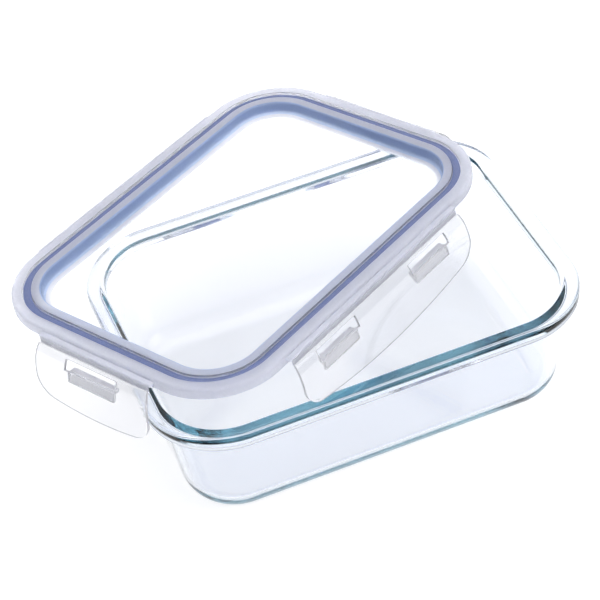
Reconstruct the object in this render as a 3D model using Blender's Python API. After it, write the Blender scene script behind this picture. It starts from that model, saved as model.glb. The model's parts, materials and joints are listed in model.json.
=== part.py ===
"""Glass food container with a four-latch snap lid and a silicone seal.

The tray stands on z = 0 with its underside centred on the origin, its long side along X.
The lid lies askew above the tray, held up by its right-hand latch on the back rim.
"""

import math

import bmesh
import bpy
from mathutils import Euler, Matrix, Vector

MM = 0.001

# Tray: a pressed glass box with a flange round its mouth
RIM_LENGTH = 205.0 * MM
RIM_WIDTH = 150.8 * MM
RIM_CORNER_RADIUS = 36.9 * MM
TRAY_HEIGHT = 61.8 * MM
RIM_THICKNESS = 6.3 * MM
RIM_OVERHANG = 6.5 * MM
RIM_OUTER_ROUND = 2.0 * MM
MOUTH_ROUND = 2.0 * MM
NECK_ROUND = 1.8 * MM
WALL_THICKNESS = 2.7 * MM
WALL_TAPER = 0.115
FLOOR_THICKNESS = 3.4 * MM
BASE_EDGE_RADIUS = 14.0 * MM
FLOOR_EDGE_RADIUS = 12.0 * MM

# Lid moulding, with heights above the lower edge of its skirt
LID_SETBACK = 3.8 * MM
LID_CORNER_STEP = 2.3 * MM
LID_TOP = 5.4 * MM
LID_SKIN = 1.8 * MM
SKIRT_THICKNESS = 1.7 * MM
LID_EDGE_ROUND = 1.4 * MM
RAISED_BAND = 13.3 * MM
RECESS_DEPTH = 6.2 * MM
PANEL_THICKNESS = 1.6 * MM
INNER_WALL = 1.4 * MM
INNER_WALL_DRAFT = 0.3 * MM
RECESS_EDGE_ROUND = 0.9 * MM
RECESS_FILLET = 1.2 * MM
RIB_THICKNESS = 1.2 * MM
OUTER_RIB_BOTTOM = 1.0 * MM
INNER_RIB_BOTTOM = 0.0 * MM
EDGE_BREAK = 0.25 * MM

# Seal, in the channel between the two ribs
SEAL_INSET = 5.1 * MM
SEAL_WIDTH = 3.8 * MM
SEAL_BODY_BOTTOM = 0.6 * MM
SEAL_LIP_DROP = 2.0 * MM
SEAL_LIP_THICKNESS = 1.3 * MM
SEAL_WING_THICKNESS = 0.6 * MM
FIT_GAP = 0.3 * MM

# Hinge blocks and the live hinges below them
HINGE_OUT = 2.6 * MM
HINGE_HEIGHT = 1.0 * MM
BLOCK_OUT = 2.4 * MM
BLOCK_TOP = 3.5 * MM
BLOCK_END_SLOPE = 0.6 * MM
BLOCK_BEYOND_LATCH = 1.0 * MM
HINGE_CLEARANCE = 0.8 * MM
FILM_RADIUS = 0.4 * MM

# Latches, as they hang when shut
LONG_LATCH_HALF = 58.0 * MM
SHORT_LATCH_HALF = 31.6 * MM
LATCH_DROP = 27.8 * MM
LONG_LATCH_BOW = 5.8 * MM
SHORT_LATCH_BOW = 3.6 * MM
LATCH_CORNER_RADIUS = 8.5 * MM
LATCH_THICKNESS = 1.4 * MM
LATCH_FLARE = 5.0 * MM
LATCH_FLARE_LENGTH = 5.0 * MM
LATCH_SIDE_BULGE = 1.2 * MM
LATCH_BULGE_LENGTH = 6.0 * MM
LATCH_EDGE_ROUND = 0.35 * MM

# Lock bars: the hooks that catch under the tray's rim
LONG_BAR_OFFSET = 32.0 * MM
LONG_BAR_LENGTH = 23.0 * MM
SHORT_BAR_LENGTH = 26.0 * MM
BAR_HEIGHT = 4.9 * MM
BAR_REACH = 3.6 * MM
BAR_NOSE = 1.6 * MM
BAR_FOOT = 1.2 * MM
BAR_FOOT_HEIGHT = 0.8 * MM
BAR_LEAD_IN = 0.4 * MM
BAR_END_DRAFT = 1.0 * MM
BAR_CLEARANCE = 0.2 * MM
WINDOW_TOP = 2.2 * MM
WINDOW_SIDE = 1.6 * MM

# How the lid lies on the tray
LID_YAW = math.radians(29.95)
LID_PITCH = math.radians(1.26)
LID_ROLL = math.radians(-3.02)
LID_SHIFT_X = -30.0 * MM
LID_SHIFT_Y = 18.5 * MM
LID_REST_HEIGHT = 25.1 * MM
LATCH_REST_OPEN = math.radians(3.0)
LATCH_FULL_OPEN = math.radians(100.0)

# Smoothness of the round shapes
CORNER_STEPS = 14
ROUND_STEPS = 5
SMOOTH_ANGLE = math.radians(32.0)
LATCH_CORNER_STEPS = 6
EDGE_SAMPLES = 40


# ---------------------------------------------------------------- worked-out values

LID_HALF_X = RIM_LENGTH / 2 - LID_SETBACK
LID_HALF_Y = RIM_WIDTH / 2 - LID_SETBACK
LID_CORNER_RADIUS = RIM_CORNER_RADIUS - LID_CORNER_STEP
PANEL_TOP = LID_TOP - RECESS_DEPTH
PANEL_BOTTOM = PANEL_TOP - PANEL_THICKNESS
CEILING = LID_TOP - LID_SKIN
BLOCK_BOTTOM = HINGE_HEIGHT + HINGE_CLEARANCE
BAR_TOP = HINGE_HEIGHT + RIM_THICKNESS + BAR_CLEARANCE


def lid_matrix():
    """Place of the lid's own frame, which is centred on the lower edge of its skirt."""
    turn = Euler((LID_ROLL, LID_PITCH, LID_YAW), "XYZ").to_matrix().to_4x4()
    place = Vector((LID_SHIFT_X, LID_SHIFT_Y, TRAY_HEIGHT + LID_REST_HEIGHT))
    return Matrix.Translation(place) @ turn


# ---------------------------------------------------------------- outlines and rings


def arc(centre, radius, start, end, steps=ROUND_STEPS):
    """Points on an arc in the (inset, height) plane, angles in degrees."""
    points = []
    for step in range(steps + 1):
        angle = math.radians(start + (end - start) * step / steps)
        points.append((centre[0] + radius * math.cos(angle), centre[1] + radius * math.sin(angle)))
    return points


def side_stops(block_half):
    """Stations along one side of the outline, each with its share of the hinge block."""
    if block_half is None:
        return [(0.0, 0.0)]
    foot = block_half + BLOCK_END_SLOPE
    return [(-foot, 0.0), (-block_half, 1.0), (0.0, 1.0), (block_half, 1.0), (foot, 0.0)]


def outline(half_x, half_y, radius, blocks=(None, None), bump=0.0):
    """Rounded rectangle, anticlockwise, pushed out by bump along the hinge blocks."""
    long_block, short_block = blocks
    points = []
    for index in range(4):
        reach, other, block = (half_x, half_y, short_block)
        if index % 2:
            reach, other, block = (half_y, half_x, long_block)
        turn = Matrix.Rotation(math.radians(90.0 * index), 2)
        for along, share in side_stops(block):
            points.append(turn @ Vector((reach + bump * share, along)))
        centre = Vector((reach - radius, other - radius))
        for step in range(CORNER_STEPS + 1):
            angle = math.radians(90.0 * step / CORNER_STEPS)
            points.append(turn @ (centre + radius * Vector((math.cos(angle), math.sin(angle)))))
    return points


def ring(mesh, points, height):
    """One loop of vertices at a height."""
    return [mesh.verts.new((point.x, point.y, height)) for point in points]


def bridge(mesh, lower, upper):
    """Quads between two loops with the same number of vertices."""
    count = len(lower)
    for index in range(count):
        after = (index + 1) % count
        mesh.faces.new((lower[index], lower[after], upper[after], upper[index]))


# ---------------------------------------------------------------- objects


def make_material(name, colour, roughness, transmission=0.0, ior=1.5):
    """Principled material of one sub-part."""
    material = bpy.data.materials.new(name)
    material.use_nodes = True
    shader = material.node_tree.nodes["Principled BSDF"]
    shader.inputs["Base Color"].default_value = (*colour, 1.0)
    shader.inputs["Roughness"].default_value = roughness
    shader.inputs["Metallic"].default_value = 0.0
    shader.inputs["Transmission Weight"].default_value = transmission
    shader.inputs["IOR"].default_value = ior
    return material


def make_object(name, mesh, material, parent=None, place=None):
    """Turn a bmesh into a named, smooth-shaded object."""
    bmesh.ops.recalc_face_normals(mesh, faces=mesh.faces)
    data = bpy.data.meshes.new(name)
    mesh.to_mesh(data)
    mesh.free()
    data.polygons.foreach_set("use_smooth", [True] * len(data.polygons))
    data.set_sharp_from_angle(angle=SMOOTH_ANGLE)
    data.materials.append(material)
    item = bpy.data.objects.new(name, data)
    bpy.context.scene.collection.objects.link(item)
    item.parent = parent
    if place is not None:
        item.matrix_local = place
    return item


def make_empty(name, place, parent=None):
    """Frame that carries the pieces of a sub-assembly."""
    empty = bpy.data.objects.new(name, None)
    empty.empty_display_size = 10.0 * MM
    bpy.context.scene.collection.objects.link(empty)
    empty.parent = parent
    empty.matrix_local = place
    return empty


# ---------------------------------------------------------------- tray


def outer_wall_inset(height):
    """Inset of the tray's outer wall from the edge of its rim."""
    return RIM_OVERHANG + WALL_TAPER * (TRAY_HEIGHT - RIM_THICKNESS - height)


def inner_wall_inset(height):
    """Inset of the tray's inner wall from the edge of its rim."""
    return outer_wall_inset(height) + WALL_THICKNESS


def tray_profile():
    """Section of the tray from the middle of its underside to the middle of its floor."""
    base = BASE_EDGE_RADIUS
    floor = FLOOR_EDGE_RADIUS
    neck = TRAY_HEIGHT - RIM_THICKNESS
    points = []
    for step in range(ROUND_STEPS * 2 + 1):
        angle = math.radians(90.0 * step / (ROUND_STEPS * 2))
        height = base * (1 - math.cos(angle))
        points.append((outer_wall_inset(height) + base * (1 - math.sin(angle)), height))
    points.append((outer_wall_inset(neck - NECK_ROUND), neck - NECK_ROUND))
    points += arc((RIM_OVERHANG - NECK_ROUND, neck - NECK_ROUND), NECK_ROUND, 45, 90, 2)
    under = RIM_OUTER_ROUND * 0.6
    points += arc((under, neck + under), under, 270, 180, 3)
    points += arc((RIM_OUTER_ROUND, TRAY_HEIGHT - RIM_OUTER_ROUND), RIM_OUTER_ROUND, 180, 90)
    mouth = inner_wall_inset(TRAY_HEIGHT - MOUTH_ROUND)
    points += arc((mouth - MOUTH_ROUND, TRAY_HEIGHT - MOUTH_ROUND), MOUTH_ROUND, 90, 0)
    for step in range(ROUND_STEPS * 2 + 1):
        angle = math.radians(90.0 * step / (ROUND_STEPS * 2))
        height = FLOOR_THICKNESS + floor * (1 - math.sin(angle))
        points.append((inner_wall_inset(height) + floor * (1 - math.cos(angle)), height))
    return points


def make_tray(material):
    """The glass tray: wall, floor and flange as one turned-over section."""
    mesh = bmesh.new()
    loops = []
    for inset, height in tray_profile():
        points = outline(RIM_LENGTH / 2 - inset, RIM_WIDTH / 2 - inset, RIM_CORNER_RADIUS - inset)
        loops.append(ring(mesh, points, height))
    for lower, upper in zip(loops, loops[1:]):
        bridge(mesh, lower, upper)
    mesh.faces.new(loops[0])
    mesh.faces.new(loops[-1])
    return make_object("glass_tray", mesh, material)


# ---------------------------------------------------------------- lid moulding and seal


def lid_block_halves():
    """Half lengths of the hinge blocks on the long and the short sides."""
    return LONG_LATCH_HALF + BLOCK_BEYOND_LATCH, SHORT_LATCH_HALF + BLOCK_BEYOND_LATCH


def lid_ring(mesh, inset, height, bump=0.0):
    """One loop of the lid's section, set in from the lid's edge."""
    points = outline(
        LID_HALF_X - inset,
        LID_HALF_Y - inset,
        LID_CORNER_RADIUS - inset,
        lid_block_halves(),
        bump,
    )
    return ring(mesh, points, height)


def lid_top_profile():
    """Upper side of the lid from its clear panel out to the block, with the block's share."""
    fillet = (RAISED_BAND + INNER_WALL_DRAFT + RECESS_FILLET, PANEL_TOP + RECESS_FILLET)
    crest = (RAISED_BAND - RECESS_EDGE_ROUND, LID_TOP - RECESS_EDGE_ROUND)
    edge = (LID_EDGE_ROUND, LID_TOP - LID_EDGE_ROUND)
    points = [(inset, height, 0.0) for inset, height in arc(fillet, RECESS_FILLET, 270, 180)]
    points += [(inset, height, 0.0) for inset, height in arc(crest, RECESS_EDGE_ROUND, 0, 90)]
    rounded = arc(edge, LID_EDGE_ROUND, 90, 180)
    points += [(inset, height, 0.0) for inset, height in rounded[:-2]]
    inset, height = rounded[-2]
    points.append((inset, height, BLOCK_OUT * 0.55))
    inset, height = rounded[-1]
    points.append((inset, height, BLOCK_OUT * 0.88))
    points.append((0.0, BLOCK_TOP, BLOCK_OUT))
    points.append((0.0, BLOCK_BOTTOM + EDGE_BREAK, BLOCK_OUT))
    points.append((0.0, BLOCK_BOTTOM, BLOCK_OUT - EDGE_BREAK))
    points.append((0.0, BLOCK_BOTTOM - EDGE_BREAK / 2, 0.0))
    return points


def rib_profile(start, bottom):
    """A rib that hangs from the lid's ceiling, passed from its outer to its inner side."""
    end = start + RIB_THICKNESS
    return [
        (start, CEILING),
        (start, bottom + EDGE_BREAK),
        (start + EDGE_BREAK, bottom),
        (end - EDGE_BREAK, bottom),
        (end, bottom + EDGE_BREAK),
        (end, CEILING),
    ]


def lid_under_profile():
    """Under side of the lid from the skirt's lower edge in to the panel."""
    outer_rib = SEAL_INSET - FIT_GAP - RIB_THICKNESS
    inner_rib = SEAL_INSET + SEAL_WIDTH + FIT_GAP
    wall = RAISED_BAND - INNER_WALL
    sole = RECESS_FILLET
    points = [(0.0, EDGE_BREAK), (EDGE_BREAK, 0.0)]
    points += [(SKIRT_THICKNESS - EDGE_BREAK, 0.0), (SKIRT_THICKNESS, EDGE_BREAK)]
    points.append((SKIRT_THICKNESS, CEILING))
    points += rib_profile(outer_rib, OUTER_RIB_BOTTOM)
    points += rib_profile(inner_rib, INNER_RIB_BOTTOM)
    points.append((wall, CEILING))
    points += arc((wall + INNER_WALL_DRAFT + sole, PANEL_BOTTOM + sole), sole, 180, 270, 4)
    return points


def make_lid_shell(material, frame):
    """The clear lid moulding: recessed panel, raised band, skirt, ribs and hinge blocks."""
    mesh = bmesh.new()
    loops = [lid_ring(mesh, *point) for point in lid_top_profile()]
    loops += [lid_ring(mesh, *point) for point in lid_under_profile()]
    for lower, upper in zip(loops, loops[1:]):
        bridge(mesh, lower, upper)
    mesh.faces.new(loops[0])
    mesh.faces.new(loops[-1])
    return make_object("lid_shell", mesh, material, frame)


def seal_profile():
    """Section of the seal: a body that fills the channel, a lip for the mouth and a wing inside."""
    outer = SEAL_INSET
    inner = SEAL_INSET + SEAL_WIDTH
    top = CEILING - FIT_GAP
    bottom = SEAL_BODY_BOTTOM
    mouth = inner_wall_inset(TRAY_HEIGHT - MOUTH_ROUND) - LID_SETBACK
    tip = mouth + FIT_GAP / 2 + SEAL_LIP_THICKNESS / 2
    points = [(outer, top - EDGE_BREAK), (outer + EDGE_BREAK, top)]
    points += [(inner - EDGE_BREAK, top), (inner, top - EDGE_BREAK)]
    wing_end = RAISED_BAND - INNER_WALL - FIT_GAP
    wing_top = INNER_RIB_BOTTOM - FIT_GAP
    wing_bottom = wing_top - SEAL_WING_THICKNESS
    points += [(inner, wing_top), (wing_end, wing_top), (wing_end, wing_bottom)]
    points.append((tip + SEAL_LIP_THICKNESS, wing_bottom))
    points += arc((tip, -SEAL_LIP_DROP + SEAL_LIP_THICKNESS / 2), SEAL_LIP_THICKNESS / 2, 0, -180, 4)
    points.append((tip - SEAL_LIP_THICKNESS / 2, bottom - EDGE_BREAK))
    points.append((outer, bottom))
    return points


def make_seal(material, frame):
    """The silicone ring under the lid's raised band."""
    mesh = bmesh.new()
    loops = []
    for inset, height in seal_profile():
        points = outline(LID_HALF_X - inset, LID_HALF_Y - inset, LID_CORNER_RADIUS - inset)
        loops.append(ring(mesh, points, height))
    for lower, upper in zip(loops, loops[1:] + loops[:1]):
        bridge(mesh, lower, upper)
    return make_object("silicone_seal", mesh, material, frame)


# ---------------------------------------------------------------- latches


class LatchShape:
    """Shape of one latch as it hangs shut, from its width, bow and lock bars."""

    def __init__(self, half, bow, bars, bar_length):
        self.half = half
        self.bow = bow
        self.bars = bars
        self.bar_half = bar_length / 2

    def flare(self, drop):
        """How far out the middle of the plate lies at a drop below the hinge."""
        return LATCH_FLARE * (1 - math.exp(-drop / LATCH_FLARE_LENGTH))

    def outward(self, drop):
        """Unit normal of the plate as (out, down)."""
        slope = LATCH_FLARE / LATCH_FLARE_LENGTH * math.exp(-drop / LATCH_FLARE_LENGTH)
        return Vector((1.0, -slope)).normalized()

    def lower_edge(self, along):
        """Drop of the latch's lower edge, bowed and with round corners."""
        share = min(abs(along) / self.half, 1.0)
        past = max(abs(along) - (self.half - LATCH_CORNER_RADIUS), 0.0)
        round_off = LATCH_CORNER_RADIUS - math.sqrt(max(LATCH_CORNER_RADIUS**2 - past**2, 0.0))
        return LATCH_DROP - self.bow * share**2 - round_off

    def place(self, along, drop, offset):
        """Point on or off the middle surface, in the latch's own frame."""
        bulge = LATCH_SIDE_BULGE * (1 - math.exp(-drop / LATCH_BULGE_LENGTH))
        normal = self.outward(drop)
        out = self.flare(drop) + normal.x * offset
        down = drop + normal.y * offset
        return Vector((along * (1 + bulge / self.half), -out, -down))

    def columns(self):
        """Stations across the latch, closer together at its corners and lock bars."""
        flat = self.half - LATCH_CORNER_RADIUS
        stops = {0.0}
        for bar in self.bars:
            for side in (-1, 1):
                edge = bar + side * self.bar_half
                stops |= {edge, edge - side * BAR_END_DRAFT, edge + side * WINDOW_SIDE, bar}
                stops.add(bar + side * self.bar_half / 2)
        for step in range(LATCH_CORNER_STEPS + 1):
            angle = math.radians(90.0 * step / LATCH_CORNER_STEPS)
            reach = flat + LATCH_CORNER_RADIUS * math.sin(angle)
            stops |= {reach, -reach}
        middle = self.bars[-1] - self.bar_half - WINDOW_SIDE
        if middle > 0:
            stops |= {middle / 2, -middle / 2}
        return sorted(round(stop, 7) for stop in stops)

    def rows(self):
        """Stations down the latch above the part that follows the bowed edge."""
        foot = BAR_TOP + BAR_HEIGHT
        return [
            HINGE_CLEARANCE,
            WINDOW_TOP,
            (WINDOW_TOP + BAR_TOP) / 2,
            BAR_TOP - BAR_LEAD_IN,
            BAR_TOP,
            BAR_TOP + BAR_NOSE,
            (BAR_TOP + BAR_NOSE + foot - BAR_FOOT_HEIGHT) / 2,
            foot - BAR_FOOT_HEIGHT,
            foot,
        ]

    def bar_height(self, along, drop):
        """How far a lock bar stands in from the plate."""
        nearest = min(abs(along - bar) for bar in self.bars)
        if nearest >= self.bar_half - BAR_END_DRAFT / 10:
            return 0.0
        foot = BAR_TOP + BAR_HEIGHT
        if drop < BAR_TOP - BAR_LEAD_IN / 2 or drop > foot - BAR_FOOT_HEIGHT / 2:
            return 0.0
        if drop <= BAR_TOP + BAR_NOSE:
            return BAR_REACH
        slope = (drop - BAR_TOP - BAR_NOSE) / (BAR_HEIGHT - BAR_NOSE - BAR_FOOT_HEIGHT)
        return BAR_REACH + (BAR_FOOT - BAR_REACH) * slope

    def in_window(self, along, drop):
        """Whether a cell's middle lies in the opening above a lock bar."""
        if not WINDOW_TOP < drop < BAR_TOP - BAR_LEAD_IN:
            return False
        return min(abs(along - bar) for bar in self.bars) < self.bar_half + WINDOW_SIDE


def latch_grid(shape):
    """Stations of the latch's surface: for each column, its drops from hinge to edge."""
    tail = (0.2, 0.42, 0.64, 0.84, 1.0)
    rows = shape.rows()
    grid = []
    for along in shape.columns():
        edge = shape.lower_edge(along)
        drops = rows + [rows[-1] + (edge - rows[-1]) * share for share in tail]
        grid.append((along, drops))
    return grid


def latch_cells(shape, grid):
    """Cells of the grid that are solid, as column and row numbers."""
    cells = set()
    for column in range(len(grid) - 1):
        along = (grid[column][0] + grid[column + 1][0]) / 2
        for row in range(len(grid[0][1]) - 1):
            drop = (grid[column][1][row] + grid[column][1][row + 1]) / 2
            if not shape.in_window(along, drop):
                cells.add((column, row))
    return cells


def latch_faces(mesh, verts, cells, flip):
    """Faces of one side of the latch."""
    for column, row in sorted(cells):
        corners = [
            verts[column, row],
            verts[column + 1, row],
            verts[column + 1, row + 1],
            verts[column, row + 1],
        ]
        mesh.faces.new(reversed(corners) if flip else corners)


def latch_borders(cells):
    """Edges of the solid cells, each with the step that leads out of its cell."""
    borders = []
    for column, row in sorted(cells):
        if (column, row - 1) not in cells:
            borders.append(((column, row), (column + 1, row), (0, -1)))
        if (column, row + 1) not in cells:
            borders.append(((column + 1, row + 1), (column, row + 1), (0, 1)))
        if (column - 1, row) not in cells:
            borders.append(((column, row + 1), (column, row), (-1, 0)))
        if (column + 1, row) not in cells:
            borders.append(((column + 1, row), (column + 1, row + 1), (1, 0)))
    return borders


def border_middles(mesh, verts_out, verts_in, borders):
    """Vertices of the round edge, half way through the plate and pushed out of it."""
    pushes = {}
    for start, end, _ in borders:
        edge = verts_out[end].co - verts_out[start].co
        through = verts_in[start].co - verts_out[start].co
        push = edge.cross(through).normalized()
        for key in (start, end):
            pushes[key] = pushes.get(key, Vector()) + push
    middles = {}
    for key, push in pushes.items():
        middle = (verts_out[key].co + verts_in[key].co) / 2
        middles[key] = mesh.verts.new(middle + push.normalized() * LATCH_EDGE_ROUND)
    return middles


def make_latch(name, shape, material, frame, place):
    """One latch: a flared plate with a bowed edge, windows and lock bars."""
    mesh = bmesh.new()
    grid = latch_grid(shape)
    cells = latch_cells(shape, grid)
    used = {(c + i, r + j) for c, r in cells for i in (0, 1) for j in (0, 1)}
    verts_out = {}
    verts_in = {}
    for column, row in sorted(used):
        along, drops = grid[column]
        drop = drops[row]
        half = LATCH_THICKNESS / 2
        verts_out[column, row] = mesh.verts.new(shape.place(along, drop, half))
        depth = half + shape.bar_height(along, drop)
        verts_in[column, row] = mesh.verts.new(shape.place(along, drop, -depth))
    latch_faces(mesh, verts_out, cells, False)
    latch_faces(mesh, verts_in, cells, True)
    borders = latch_borders(cells)
    middles = border_middles(mesh, verts_out, verts_in, borders)
    for start, end, _ in borders:
        mesh.faces.new((verts_out[start], verts_out[end], middles[end], middles[start]))
        mesh.faces.new((middles[start], middles[end], verts_in[end], verts_in[start]))
    return make_object(name, mesh, material, frame, place)


def make_film(name, half, material, frame, place):
    """The thin live hinge along a latch, drawn as a slim round strip on its axis."""
    mesh = bmesh.new()
    turn = Matrix.Rotation(math.radians(90.0), 4, "Y")
    bmesh.ops.create_cone(
        mesh,
        cap_ends=True,
        segments=12,
        radius1=FILM_RADIUS,
        radius2=FILM_RADIUS,
        depth=2 * half,
        matrix=turn,
    )
    return make_object(name, mesh, material, frame, place)


# ---------------------------------------------------------------- how the latches hang


def hinge_matrix(side):
    """Frame of one hinge in the lid's frame: X along the hinge, -Y out of the lid."""
    turns = {"front": 0.0, "right": 90.0, "back": 180.0, "left": 270.0}
    reach = LID_HALF_Y if side in ("front", "back") else LID_HALF_X
    turn = Matrix.Rotation(math.radians(turns[side]), 4, "Z")
    return turn @ Matrix.Translation((0.0, -(reach + HINGE_OUT), HINGE_HEIGHT))


def over_tray(point):
    """Whether a point is above or below the tray's rounded outline."""
    past_x = max(abs(point.x) - (RIM_LENGTH / 2 - RIM_CORNER_RADIUS), 0.0)
    past_y = max(abs(point.y) - (RIM_WIDTH / 2 - RIM_CORNER_RADIUS), 0.0)
    return math.hypot(past_x, past_y) < RIM_CORNER_RADIUS


def lowest_over_tray(shape, side, angle):
    """Height of the latch's lowest edge point above the rim, where it is over the tray."""
    place = lid_matrix() @ hinge_matrix(side) @ Matrix.Rotation(-angle, 4, "X")
    lowest = None
    for step in range(-EDGE_SAMPLES, EDGE_SAMPLES + 1):
        along = shape.half * step / EDGE_SAMPLES
        for offset in (-LATCH_THICKNESS / 2, 0.0, LATCH_THICKNESS / 2):
            reach = LATCH_EDGE_ROUND if offset == 0.0 else 0.0
            point = place @ shape.place(along, shape.lower_edge(along) + reach, offset)
            if over_tray(point) and (lowest is None or point.z < lowest):
                lowest = point.z
    return None if lowest is None else lowest - TRAY_HEIGHT


def propped_angle(shape, side):
    """Opening at which a latch's edge lies on the rim, or its free opening if that is more."""
    low = LATCH_REST_OPEN
    high = LATCH_FULL_OPEN
    start = lowest_over_tray(shape, side, low)
    if start is None or start >= FIT_GAP:
        return low
    for _ in range(30):
        middle = (low + high) / 2
        height = lowest_over_tray(shape, side, middle)
        if height is None or height >= FIT_GAP:
            high = middle
        else:
            low = middle
    return high


# ---------------------------------------------------------------- assembly


def clear_scene():
    """Remove everything that the start-up scene holds."""
    for item in list(bpy.data.objects):
        bpy.data.objects.remove(item, do_unlink=True)


def main():
    """Build the container."""
    clear_scene()
    glass = make_material("clear_glass", (0.80, 0.90, 0.92), 0.03, 0.9, 1.47)
    plastic = make_material("clear_polypropylene", (0.82, 0.82, 0.88), 0.22, 0.6, 1.49)
    silicone = make_material("blue_silicone", (0.20, 0.33, 0.66), 0.55)
    latch_plastic = make_material("latch_polypropylene", (0.90, 0.89, 0.94), 0.18, 0.8, 1.49)
    film_plastic = make_material("hinge_film", (0.88, 0.88, 0.93), 0.3, 0.5, 1.49)

    make_tray(glass)
    lid_frame = make_empty("lid_frame", lid_matrix())
    make_lid_shell(plastic, lid_frame)
    make_seal(silicone, lid_frame)

    long_bars = (-LONG_BAR_OFFSET, LONG_BAR_OFFSET)
    long_shape = LatchShape(LONG_LATCH_HALF, LONG_LATCH_BOW, long_bars, LONG_BAR_LENGTH)
    short_shape = LatchShape(SHORT_LATCH_HALF, SHORT_LATCH_BOW, (0.0,), SHORT_BAR_LENGTH)
    for side in ("front", "back", "left", "right"):
        shape = long_shape if side in ("front", "back") else short_shape
        hinge = hinge_matrix(side)
        angle = propped_angle(shape, side)
        make_film(f"hinge_film_{side}", shape.half, film_plastic, lid_frame, hinge)
        swing = hinge @ Matrix.Rotation(-angle, 4, "X")
        make_latch(f"latch_{side}", shape, latch_plastic, lid_frame, swing)


main()
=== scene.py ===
"""Looks of a glass food container whose clear snap lid lies askew across its rim."""

import json
import logging
import math
from dataclasses import dataclass, field
from enum import Enum
from typing import Any, Callable, Iterable, Sequence, Union

import bmesh
import bpy
from mathutils import Matrix, Vector


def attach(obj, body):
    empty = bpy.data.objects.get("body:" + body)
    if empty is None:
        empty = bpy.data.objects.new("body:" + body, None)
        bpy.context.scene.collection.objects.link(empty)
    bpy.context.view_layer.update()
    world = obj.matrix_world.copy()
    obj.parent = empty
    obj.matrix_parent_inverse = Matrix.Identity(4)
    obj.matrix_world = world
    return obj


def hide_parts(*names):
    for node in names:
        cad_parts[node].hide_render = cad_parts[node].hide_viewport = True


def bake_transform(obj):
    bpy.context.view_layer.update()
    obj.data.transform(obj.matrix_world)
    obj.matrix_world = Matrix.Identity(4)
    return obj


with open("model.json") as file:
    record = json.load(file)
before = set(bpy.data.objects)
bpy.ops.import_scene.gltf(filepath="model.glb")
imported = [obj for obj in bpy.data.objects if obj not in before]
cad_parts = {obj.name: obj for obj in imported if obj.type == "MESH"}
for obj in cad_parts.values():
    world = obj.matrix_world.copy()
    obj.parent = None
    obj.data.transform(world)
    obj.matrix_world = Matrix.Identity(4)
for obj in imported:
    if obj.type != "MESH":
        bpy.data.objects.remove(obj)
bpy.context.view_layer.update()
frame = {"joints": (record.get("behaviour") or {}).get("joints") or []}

MM = 0.001
MILK = "milk"
# Mesh mark for painted light: where the seal's blue is painted into the lid's colour.
PAINTED_SEAL_LIGHT = "seal_glow"
LOG = logging.getLogger("food_container")


class Side(Enum):
    """Sides of the lid, named as the container's user faces it."""

    FRONT = "front"
    BACK = "back"
    LEFT = "left"
    RIGHT = "right"

    @property
    def is_long(self) -> bool:
        """Whether this is one of the lid's long sides."""
        return self in (Side.FRONT, Side.BACK)


class Slot(Enum):
    """The record's material slots."""

    GLASS = "glass"
    LID = "clear_plastic"
    SEAL = "silicone"
    LATCH = "latch_plastic"
    HINGE = "hinge_plastic"


# ---------------------------------------------------------------- shader building


class Value:
    """A shader socket on which Python's operators add Math nodes."""

    def __init__(self, tree: "ShaderTree", socket: bpy.types.NodeSocket) -> None:
        """Wrap one output socket of a tree."""
        self.tree = tree
        self.socket = socket

    def _math(self, operation: str, first: Any, second: Any) -> "Value":
        """Add one Math node."""
        return self.tree.node("ShaderNodeMath", {"operation": operation}, {0: first, 1: second})

    def __add__(self, other: Any) -> "Value":
        """Sum."""
        return self._math("ADD", self, other)

    def __sub__(self, other: Any) -> "Value":
        """Difference."""
        return self._math("SUBTRACT", self, other)

    def __mul__(self, other: Any) -> "Value":
        """Product."""
        return self._math("MULTIPLY", self, other)

    __radd__ = __add__


Colour = tuple[float, float, float]
Feed = Union[Value, float, Colour]


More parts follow.
